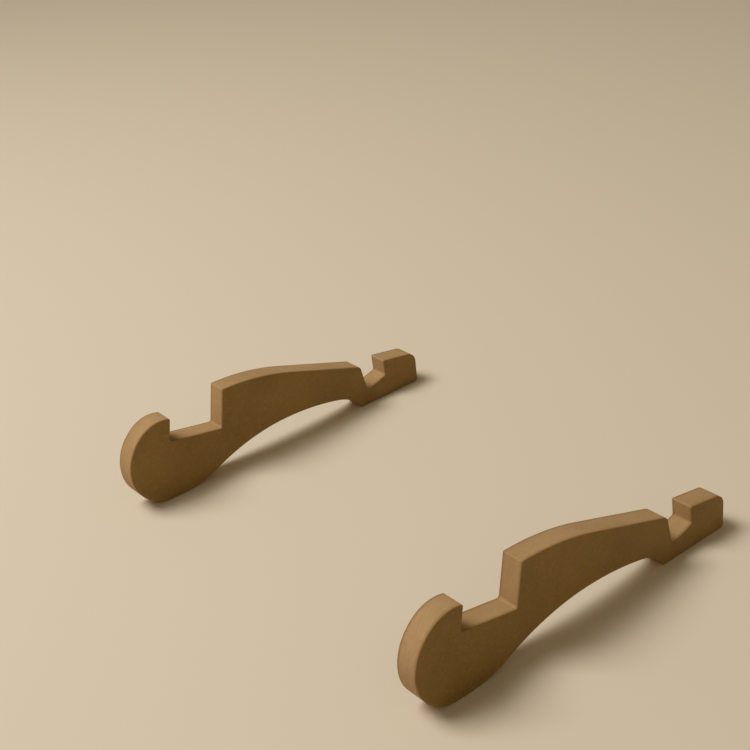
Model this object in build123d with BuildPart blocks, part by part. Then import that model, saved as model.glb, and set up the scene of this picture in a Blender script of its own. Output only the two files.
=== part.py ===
from build123d import *
import os

# Tabletop easel: two loose MDF supports that hold a stretched canvas upright between them.
#
# Both are cut from board to one outline and stand on edge, square to the canvas. The front
# of the outline is a round nose with a hooked lip. Behind the lip a slot takes a gallery
# canvas, and its rear wall rises to a low back rest. From there the arm slopes down to the
# tail, where a small notch takes a thin canvas when the supports are turned round. The
# underside is arched, so a support stands on a land under its nose and on its tail.
#
# Frame: +Z up, the canvas faces -Y and runs along X. The origin is on the table, in the
# middle of the pair's footprint. All sizes are millimetres, and angles are degrees.

# ---- board and spacing
BOARD = 15  # thickness of the MDF
SPACING = 280  # between the middles of the two boards
EASE = 0.8  # sanded radius along both faces

# ---- nose, measured back from the tip of the hook and up from the table
HOOK_TIP = (0, 56.8)
NOSE_TOP = (-21.6, 53.8)  # where the brow's arc meets the front's
NOSE_LOW = (-34.2, 22.6)  # where the front's arc meets the sole's
LAND_FRONT = (-7.4, 0)
LAND_BACK = (-1, 0)

# ---- slot for a gallery canvas, 38 mm deep and its cloth
LEAN = 11  # the canvas leans back
LIP = 15.8
SLOT = 40
REST = 27.8

# ---- arm, from the back rest to the notch
REST_RADIUS = 165  # the round top of the back rest
ARM_SLOPE = 19
ARM = 63

# ---- notch for a thin canvas, leaning the other way
NOTCH_LEAN = 12
NOTCH_DEPTH = 20.8
NOTCH_FLOOR = 18
FLOOR_RISE = 17
TAIL_LIP = 11.8
TAIL_LIP_LEAN = 3

# ---- tail and arched underside
TAIL_TOP = (205.2, 23)
TAIL_TOE = (205.2, 0)
TAIL_HEEL = (152, 0)
ARCH_FRONT = (29, 6.5)  # where the hollow behind the land turns into the arch
ARCH_CROWN = (88, 19.3)
ARCH_BACK = (133.5, 13.6)

# ---- corners of the outline
TAIL_RADIUS = 8
ARM_RADIUS = 4
TOE_RADIUS = 2.6
CUTTER_RADIUS = 1.6  # left by the cutter in every inner corner
CORNER_RADIUS = 1


# The template: the shape of one support, seen from its right-hand side.
with BuildSketch() as template:
    with BuildLine():
        # round nose, from the table up to the tip of the hook
        sole = TangentArc(LAND_FRONT, NOSE_LOW, tangent=(-1, 0))
        front = TangentArc(sole @ 1, NOSE_TOP, tangent=sole % 1)
        brow = TangentArc(front @ 1, HOOK_TIP, tangent=front % 1)
        # slot, square to the canvas's lean
        lip = PolarLine(brow @ 1, LIP, angle=-90 - LEAN)
        slot_floor = PolarLine(lip @ 1, SLOT, angle=-LEAN)
        rest = PolarLine(slot_floor @ 1, REST, angle=90 - LEAN)
        # arm
        rest_top = JernArc(rest @ 1, tangent=(1, 0), radius=REST_RADIUS, arc_size=-ARM_SLOPE)
        arm = PolarLine(rest_top @ 1, ARM, angle=-ARM_SLOPE)
        # notch and tail
        notch_wall = PolarLine(arm @ 1, NOTCH_DEPTH, angle=NOTCH_LEAN - 90)
        notch_floor = PolarLine(notch_wall @ 1, NOTCH_FLOOR, angle=FLOOR_RISE)
        tail_lip = PolarLine(notch_floor @ 1, TAIL_LIP, angle=90 + TAIL_LIP_LEAN)
        Polyline(tail_lip @ 1, TAIL_TOP, TAIL_TOE, TAIL_HEEL)
        # underside, from the land back to the heel
        Line(LAND_FRONT, LAND_BACK)
        hollow = TangentArc(LAND_BACK, ARCH_FRONT, tangent=(1, 0))
        arch_rise = TangentArc(ARCH_FRONT, ARCH_CROWN, tangent=hollow % 1)
        arch_fall = TangentArc(ARCH_CROWN, ARCH_BACK, tangent=arch_rise % 1)
        TangentArc(ARCH_BACK, TAIL_HEEL, tangent=arch_fall % 1)
    make_face()
    inner_corners = (lip @ 1, slot_floor @ 1, notch_wall @ 1, notch_floor @ 1)
    outer_corners = (brow @ 1, rest @ 1, tail_lip @ 1, TAIL_HEEL)
    rounded = [(TAIL_TOP, TAIL_RADIUS), (arm @ 1, ARM_RADIUS), (TAIL_TOE, TOE_RADIUS)]
    rounded += [(corner, CUTTER_RADIUS) for corner in inner_corners]
    rounded += [(corner, CORNER_RADIUS) for corner in outer_corners]
    for corner, radius in rounded:
        fillet(template.vertices().sort_by_distance(corner)[0], radius)

middle_y = template.sketch.bounding_box().center().X

# The supports: the template cut from board twice, and both faces' edges eased by hand.
os.makedirs("parts", exist_ok=True)
for name, middle_x in (("left_support", -SPACING / 2), ("right_support", SPACING / 2)):
    mid_plane = Plane(origin=(middle_x, -middle_y, 0), x_dir=(0, 1, 0), z_dir=(1, 0, 0))
    with BuildPart() as support:
        with BuildSketch(mid_plane):
            add(template.sketch)
        extrude(amount=BOARD / 2, both=True)
        board_faces = support.faces().filter_by(Plane.YZ).sort_by(Axis.X)
        fillet((board_faces[0] + board_faces[-1]).edges(), EASE)
    support.part.label = name
    export_step(support.part, f"parts/{name}.step")
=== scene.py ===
import math

import bpy
import numpy as np
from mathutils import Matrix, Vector


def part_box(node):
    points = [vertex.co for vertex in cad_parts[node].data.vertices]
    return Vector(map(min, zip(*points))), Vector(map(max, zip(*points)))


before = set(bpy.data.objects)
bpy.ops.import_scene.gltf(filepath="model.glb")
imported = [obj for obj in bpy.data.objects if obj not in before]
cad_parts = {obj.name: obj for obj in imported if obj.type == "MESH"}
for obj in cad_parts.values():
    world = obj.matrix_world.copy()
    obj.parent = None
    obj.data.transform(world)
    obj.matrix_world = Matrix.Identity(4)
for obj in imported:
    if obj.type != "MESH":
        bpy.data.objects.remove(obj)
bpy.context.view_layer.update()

# ---------------------------------------------------------------- camera
# Stands in front and to the right of the easel and above it, and looks down at the pair through
# a short telephoto lens, rolled slightly to one side.
CAMERA_PLACE = (0.5744, -0.4376, 0.4832)  # metres
CAMERA_TURN = (62.03, 5.60, 50.75)  # degrees, Euler XYZ
LENS_MM = 66.06
SENSOR_MM = 36.0
NEAREST_SEEN = 0.01  # metres

camera = bpy.data.objects.new("camera", bpy.data.cameras.new("camera"))
camera.data.lens = LENS_MM
camera.data.sensor_width = SENSOR_MM
camera.data.clip_start = NEAREST_SEEN
camera.location = CAMERA_PLACE
camera.rotation_euler = [math.radians(angle) for angle in CAMERA_TURN]
bpy.context.scene.collection.objects.link(camera)
bpy.context.scene.camera = camera

# ---------------------------------------------------------------- the two supports
# Medium-density fibreboard, 15 mm thick and left bare, routed to one outline and stood on edge.
# The pair is loose: only the table and the canvas hold it together. The sanded faces are dense,
# smooth and olive brown, and the cut edges show the paler core from its side, dry and fuzzy.
# The face colours are partly painted shade: darker and more saturated than the board's own, as the faces
# look in warm shade.
FACE_COLOUR_WITH_SHADE = "#967435"  # sanded skin of the board, partly painted shade: darker and more saturated than the bare board
FACE_DARK_WITH_SHADE = "#826329"  # where its fibres are pressed darkest, with the same painted shade
CORE_COLOUR = "#b8966a"  # middle of the board, cut across
SKIN_COLOUR = "#987546"  # denser layer under each face, cut across
ARRIS_SHADE_COLOUR = "#906e3a"  # painted shade on the rounded edges, which dulls the highlight they catch, over the denser layer that the sanding reaches there
FIBRE_DARK = "#5f4523"  # bark and scorched fibre
FIBRE_PALE = "#d8bd92"  # loose pale fibre
SKIN_MM = 1.6  # thickness of the denser layer, whose inner side wanders by about half of that
FACE_STARTS, FACE_FULL = 0.80, 0.985  # how far sideways the surface faces at a face's rim
ARRIS_STARTS, ARRIS_FULL = 0.06, 0.35  # and where a cut edge turns into the arris
ARRIS_SHADE_AND_WEAR = 0.65  # how strongly the arris is painted darker: painted shade that dulls its highlight, on top of the denser layer rubbed through there
RELIEF_MM = 0.12  # height from the lowest to the highest value of a pattern with weight 1
MM_IN_METRE = 1000.0

supports = ("left_support", "right_support")
inner, outer = (corner[0] * MM_IN_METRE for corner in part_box("right_support"))
middle_mm = (inner + outer) / 2
half_board_mm = (outer - inner) / 2


def linear(hex_colour):
    """sRGB hex to linear RGBA: each channel goes through the sRGB curve's inverse."""
    channels = [int(hex_colour[i : i + 2], 16) / 255 for i in (1, 3, 5)]
    return [c / 12.92 if c <= 0.04045 else ((c + 0.055) / 1.055) ** 2.4 for c in channels] + [1.0]


def add(material, kind, inputs, **settings):
    """Adds one node. settings are its own properties, and each input is a value, or an output or
    a node to link, where a node stands for its first output in use."""
    made = material.node_tree.nodes.new(kind)
    for name, value in settings.items():
        setattr(made, name, value)
    for name, value in inputs.items():
        if isinstance(value, bpy.types.Node):
            value = next(output for output in value.outputs if output.enabled)
        if isinstance(value, bpy.types.NodeSocket):
            material.node_tree.links.new(value, made.inputs[name])
        else:
            made.inputs[name].default_value = value
    return made


def fibre_mat(material, mm, size_mm, stretch, detail=3.0, turn=0.0, warp=0.0, shift=0.0):
    """Noise whose features are size_mm across times stretch on X, Y and Z, turned in the plane of
    the board. X is the board's thickness, and the fibres lie flat, so stretch is least there."""
    placed = {"Vector": mm, "Location": (shift, shift, shift), "Rotation": (math.radians(turn), 0, 0)}
    placed["Scale"] = [1 / (size_mm * each) for each in stretch]
    noise = {"Vector": add(material, "ShaderNodeMapping", placed), "Scale": 1.0, "Detail": detail}
    return add(material, "ShaderNodeTexNoise", {**noise, "Roughness": 0.55, "Distortion": warp})


def single_fibres(material, mm, width_mm, length, turn, shift):
    """Short curly fibres: the lines where a warped noise passes its middle, broken into lengths
    by a second noise."""
    middle = 0.5
    rim, core = 0.035, 0.008  # how far off its middle the noise is at a fibre's rim and core
    gap, whole = 0.50, 0.60  # values of the second noise where a fibre is missing and whole
    break_mm = 3.1
    field = fibre_mat(material, mm, width_mm, (0.5, length, 1.0), 1.0, turn, warp=1.2, shift=shift)
    off_line = add(material, "ShaderNodeMath", {0: field, 1: middle}, operation="SUBTRACT")
    off_line = add(material, "ShaderNodeMath", {0: off_line}, operation="ABSOLUTE")
    line = add(material, "ShaderNodeMapRange", {"Value": off_line, "From Min": rim, "From Max": core})
    broken = fibre_mat(material, mm, break_mm, (0.5, 1.0, 1.0), 2.0, turn, shift=shift + 11.0)
    broken = add(material, "ShaderNodeMapRange", {"Value": broken, "From Min": gap, "From Max": whole})
    return add(material, "ShaderNodeMath", {0: line, 1: broken}, operation="MULTIPLY")


def layered_colour(material, ground, coats):
    """Lays coats over a ground colour. Each coat is a pattern, the values of the pattern where it
    starts and where it is full, how much it then covers, and its hex colour."""
    colour = linear(ground)
    for pattern, start, full, cover, hex_colour in coats:
        shown = {"Value": pattern, "From Min": start, "From Max": full, "To Max": cover}
        shown = add(material, "ShaderNodeMapRange", shown)
        mix = {"Factor": shown, "A": colour, "B": linear(hex_colour)}
        colour = add(material, "ShaderNodeMix", mix, data_type="RGBA")
    return colour


def summed(material, weights):
    """Adds patterns up, each times its weight."""
    total = 0.0
    for pattern, weight in weights:
        total = add(material, "ShaderNodeMath", {0: pattern, 1: weight, 2: total}, operation="MULTIPLY_ADD")
    return total


def bare_mdf():
    """One solid mat of fibres, in millimetres, that the faces and the cut edges share."""
    mdf = bpy.data.materials.new("bare_mdf")
    mdf.use_nodes = True
    mdf.node_tree.nodes.clear()
    where = add(mdf, "ShaderNodeTexCoord", {})
    to_mm = {0: where.outputs["Object"], "Scale": MM_IN_METRE}
    mm = add(mdf, "ShaderNodeVectorMath", to_mm, operation="SCALE").outputs["Vector"]

    # how far the surface faces sideways: 1 on the faces, 0 on the cut edges, between on the arris
    normal = add(mdf, "ShaderNodeSeparateXYZ", {"Vector": where.outputs["Normal"]})
    sideways = add(mdf, "ShaderNodeMath", {0: normal.outputs["X"]}, operation="ABSOLUTE")
    onto_face = {"Value": sideways, "From Min": FACE_STARTS, "From Max": FACE_FULL}
    face = add(mdf, "ShaderNodeMapRange", onto_face)
    onto_arris = {"Value": sideways, "From Min": ARRIS_STARTS, "From Max": ARRIS_FULL}
    onto_arris = add(mdf, "ShaderNodeMapRange", onto_arris)
    off_arris = {"Value": sideways, "From Min": FACE_FULL, "From Max": FACE_STARTS}
    off_arris = add(mdf, "ShaderNodeMapRange", off_arris)
    arris = add(mdf, "ShaderNodeMath", {0: onto_arris, 1: off_arris}, operation="MULTIPLY")

    # clouds 35 mm across, clumps of 4 mm, grain of 0.9 mm, dark specks, and single fibres that
    # are a tenth or two of a millimetre wide
    clouds = fibre_mat(mdf, mm, 35.0, (0.5, 1.0, 1.0), 2.0)
    clumps = fibre_mat(mdf, mm, 4.2, (0.35, 1.0, 1.0), 3.0, shift=31.0)
    grain = fibre_mat(mdf, mm, 0.9, (0.3, 1.0, 1.0), 3.0, shift=7.0)
    specks = fibre_mat(mdf, mm, 0.75, (0.5, 1.3, 1.0), 1.0, turn=40.0, shift=91.0)
    pale_sets = [
        single_fibres(mdf, mm, 1.7, 2.2, turn=25.0, shift=3.0),
        single_fibres(mdf, mm, 1.4, 2.0, turn=-52.0, shift=19.0),
    ]
    dark_sets = [
        single_fibres(mdf, mm, 1.5, 2.4, turn=78.0, shift=43.0),
        single_fibres(mdf, mm, 1.9, 2.0, turn=-12.0, shift=61.0),
    ]
    pale = add(mdf, "ShaderNodeMath", dict(enumerate(pale_sets)), operation="MAXIMUM")
    dark = add(mdf, "ShaderNodeMath", dict(enumerate(dark_sets)), operation="MAXIMUM")

    # on the cut edges the mat shows as thin layers that run along the outline, and the cutter
    # left faint ridges straight across them, about 2 mm apart
    layers = fibre_mat(mdf, mm, 1.5, (0.26, 2.3, 2.3), 4.0, shift=5.0)
    streaks = fibre_mat(mdf, mm, 0.6, (0.40, 1.8, 1.8), 3.0, shift=17.0)
    ridges = fibre_mat(mdf, mm, 2.1, (60.0, 1.0, 1.0), 2.0, shift=29.0)

    # the core is pale and the skins are darker, with a boundary that wanders with the clumps
    place = add(mdf, "ShaderNodeSeparateXYZ", {"Vector": mm})
    across = add(mdf, "ShaderNodeMath", {0: place.outputs["X"]}, operation="ABSOLUTE")
    off_middle = add(mdf, "ShaderNodeMath", {0: across, 1: middle_mm}, operation="SUBTRACT")
    depth = add(mdf, "ShaderNodeMath", {0: off_middle}, operation="ABSOLUTE")
    depth = add(mdf, "ShaderNodeMath", {0: clumps, 1: SKIN_MM, 2: depth}, operation="MULTIPLY_ADD")

    face_coats = [
        (clouds, 0.30, 0.70, 1.0, FACE_COLOUR_WITH_SHADE),
        (clumps, 0.35, 0.72, 0.45, FACE_COLOUR_WITH_SHADE),
        (grain, 0.62, 0.40, 0.28, FACE_DARK_WITH_SHADE),
        (pale, 0.0, 1.0, 0.22, FIBRE_PALE),
        (dark, 0.0, 1.0, 0.32, FIBRE_DARK),
        (specks, 0.745, 0.80, 0.75, FIBRE_DARK),
    ]
    edge_coats = [
        (depth, half_board_mm - SKIN_MM, half_board_mm + 0.1, 1.0, SKIN_COLOUR),
        (layers, 0.58, 0.36, 0.34, SKIN_COLOUR),
        (streaks, 0.55, 0.72, 0.24, FIBRE_PALE),
        (ridges, 0.58, 0.36, 0.06, SKIN_COLOUR),
        (clouds, 0.62, 0.34, 0.30, SKIN_COLOUR),
        (specks, 0.745, 0.80, 0.55, FIBRE_DARK),
    ]
    face_colour = layered_colour(mdf, FACE_DARK_WITH_SHADE, face_coats)
    edge_colour = layered_colour(mdf, CORE_COLOUR, edge_coats)
    both = {"Factor": face, "A": edge_colour, "B": face_colour}
    colour = add(mdf, "ShaderNodeMix", both, data_type="RGBA")
    # painted shade: the arris is darkened to dull the highlight its rounding catches, besides the denser
    # layer that shows there
    arris_shade_amount = add(mdf, "ShaderNodeMath", {0: arris, 1: ARRIS_SHADE_AND_WEAR}, operation="MULTIPLY")
    arris_shade_mix = {"Factor": arris_shade_amount, "A": colour, "B": linear(ARRIS_SHADE_COLOUR)}
    colour = add(mdf, "ShaderNodeMix", arris_shade_mix, data_type="RGBA")

    # the sanded face has a low sheen broken by marks along the board, drawn 0.3 mm apart, which
    # is coarser than fine paper leaves, so that they show, and the edge is dull
    scratches = fibre_mat(mdf, mm, 0.3, (1.0, 60.0, 1.0), 2.0, turn=4.0, shift=23.0)
    face_sheen = add(mdf, "ShaderNodeMath", {0: scratches, 1: 0.16, 2: 0.50}, operation="MULTIPLY_ADD")
    edge_sheen = add(mdf, "ShaderNodeMath", {0: layers, 1: 0.12, 2: 0.78}, operation="MULTIPLY_ADD")
    rough = add(mdf, "ShaderNodeMix", {"Factor": face, "A": edge_sheen, "B": face_sheen})

    # the face is nearly flat, and the cut edge is torn and ridged
    face_relief = summed(mdf, [(grain, 0.5), (scratches, 0.5), (pale, 0.5)])
    edge_relief = summed(mdf, [(layers, 1.6), (streaks, 1.2), (grain, 1.0), (ridges, 0.6)])
    relief = add(mdf, "ShaderNodeMix", {"Factor": face, "A": edge_relief, "B": face_relief})
    bumped = add(mdf, "ShaderNodeBump", {"Height": relief, "Distance": RELIEF_MM / MM_IN_METRE})

    shader = {"Base Color": colour, "Roughness": rough, "Normal": bumped, "IOR": 1.5}
    shader["Specular IOR Level"] = 0.35  # porous, so it shines less than its resin would
    wood = add(mdf, "ShaderNodeBsdfPrincipled", shader)
    add(mdf, "ShaderNodeOutputMaterial", {"Surface": wood})
    return mdf


mdf_finish = bare_mdf()
for name in supports:
    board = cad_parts[name].data
    board.materials.clear()
    board.materials.append(mdf_finish)

# ---------------------------------------------------------------- table and light
# A plain, pale, matt table top that sweeps up into a wall far off, all the way round, a large
# soft lamp high on the left, a weak one on the right and a dim even room.
TABLE_RADIUS = 2.6  # metres, flat this far out from the middle
SWEEP_RADIUS = 1.2  # metres
INNER_RING = 0.4  # of the flat radius, and one many-sided face fills the table inside it
TABLE_COLOUR = "#ded2bd"
TABLE_ROUGHNESS = 0.9
ROOM_COLOUR = (1.0, 0.84, 0.56, 1)
ROOM_STRENGTH = 0.20


def sweep(flat, curve, turns=96, steps=16):
    """A round table top that curves up into a wall.

    Each ring is a circle at distance r and height z. The first two lie at z = 0, the second at
    r = flat, and then the quarter circle r = flat + curve * sin(a), z = curve * (1 - cos(a))
    carries the rings up.
    """
    rise = np.linspace(0, math.pi / 2, steps)
    distance = np.r_[INNER_RING * flat, flat + curve * np.sin(rise)]
    height = np.r_[0.0, curve * (1 - np.cos(rise))]
    round_it = np.arange(turns) * 2 * math.pi / turns
    x = np.outer(distance, np.cos(round_it))
    y = np.outer(distance, np.sin(round_it))
    z = np.repeat(height, turns).reshape(x.shape)
    points = np.stack([x, y, z], axis=-1).reshape(-1, 3)
    ring, turn = np.meshgrid(np.arange(len(distance) - 1) * turns, np.arange(turns), indexing="ij")
    ahead = (turn + 1) % turns
    quads = np.stack([ring + turn, ring + turns + turn, ring + turns + ahead, ring + ahead], axis=-1)
    mesh = bpy.data.meshes.new("table_top")
    mesh.from_pydata(points.tolist(), [], quads.reshape(-1, 4).tolist() + [list(range(turns))])
    mesh.shade_smooth()
    return mesh


table = sweep(TABLE_RADIUS, SWEEP_RADIUS)
table_top = bpy.data.objects.new("table_top", table)
bpy.context.scene.collection.objects.link(table_top)
matt_paint = bpy.data.materials.new("pale_table")
matt_paint.use_nodes = True
matt_shader = matt_paint.node_tree.nodes["Principled BSDF"]
matt_shader.inputs["Base Color"].default_value = linear(TABLE_COLOUR)
matt_shader.inputs["Roughness"].default_value = TABLE_ROUGHNESS
table.materials.append(matt_paint)

room = bpy.data.worlds.new("studio")
room.use_nodes = True
room.node_tree.nodes["Background"].inputs["Color"].default_value = ROOM_COLOUR
room.node_tree.nodes["Background"].inputs["Strength"].default_value = ROOM_STRENGTH
bpy.context.scene.world = room


def softbox(name, place, aim, size, power, colour):
    """A square lamp at place that faces aim, in metres and watts."""
    lamp = bpy.data.lights.new(name, "AREA")
    lamp.shape = "SQUARE"
    lamp.size = size
    lamp.energy = power
    lamp.color = colour
    held = bpy.data.objects.new(name, lamp)
    held.location = place
    held.rotation_euler = (Vector(aim) - Vector(place)).to_track_quat("-Z", "Y").to_euler()
    bpy.context.scene.collection.objects.link(held)


softbox("key", (-0.9, -1.0, 2.2), aim=(0, 0, 0), size=1.3, power=51.0, colour=(1.0, 0.97, 0.94))
softbox("fill", (1.6, -0.6, 1.6), aim=(0, 0, 0), size=1.5, power=2.0, colour=(1.0, 0.85, 0.60))
bpy.context.scene.view_settings.view_transform = "Standard"
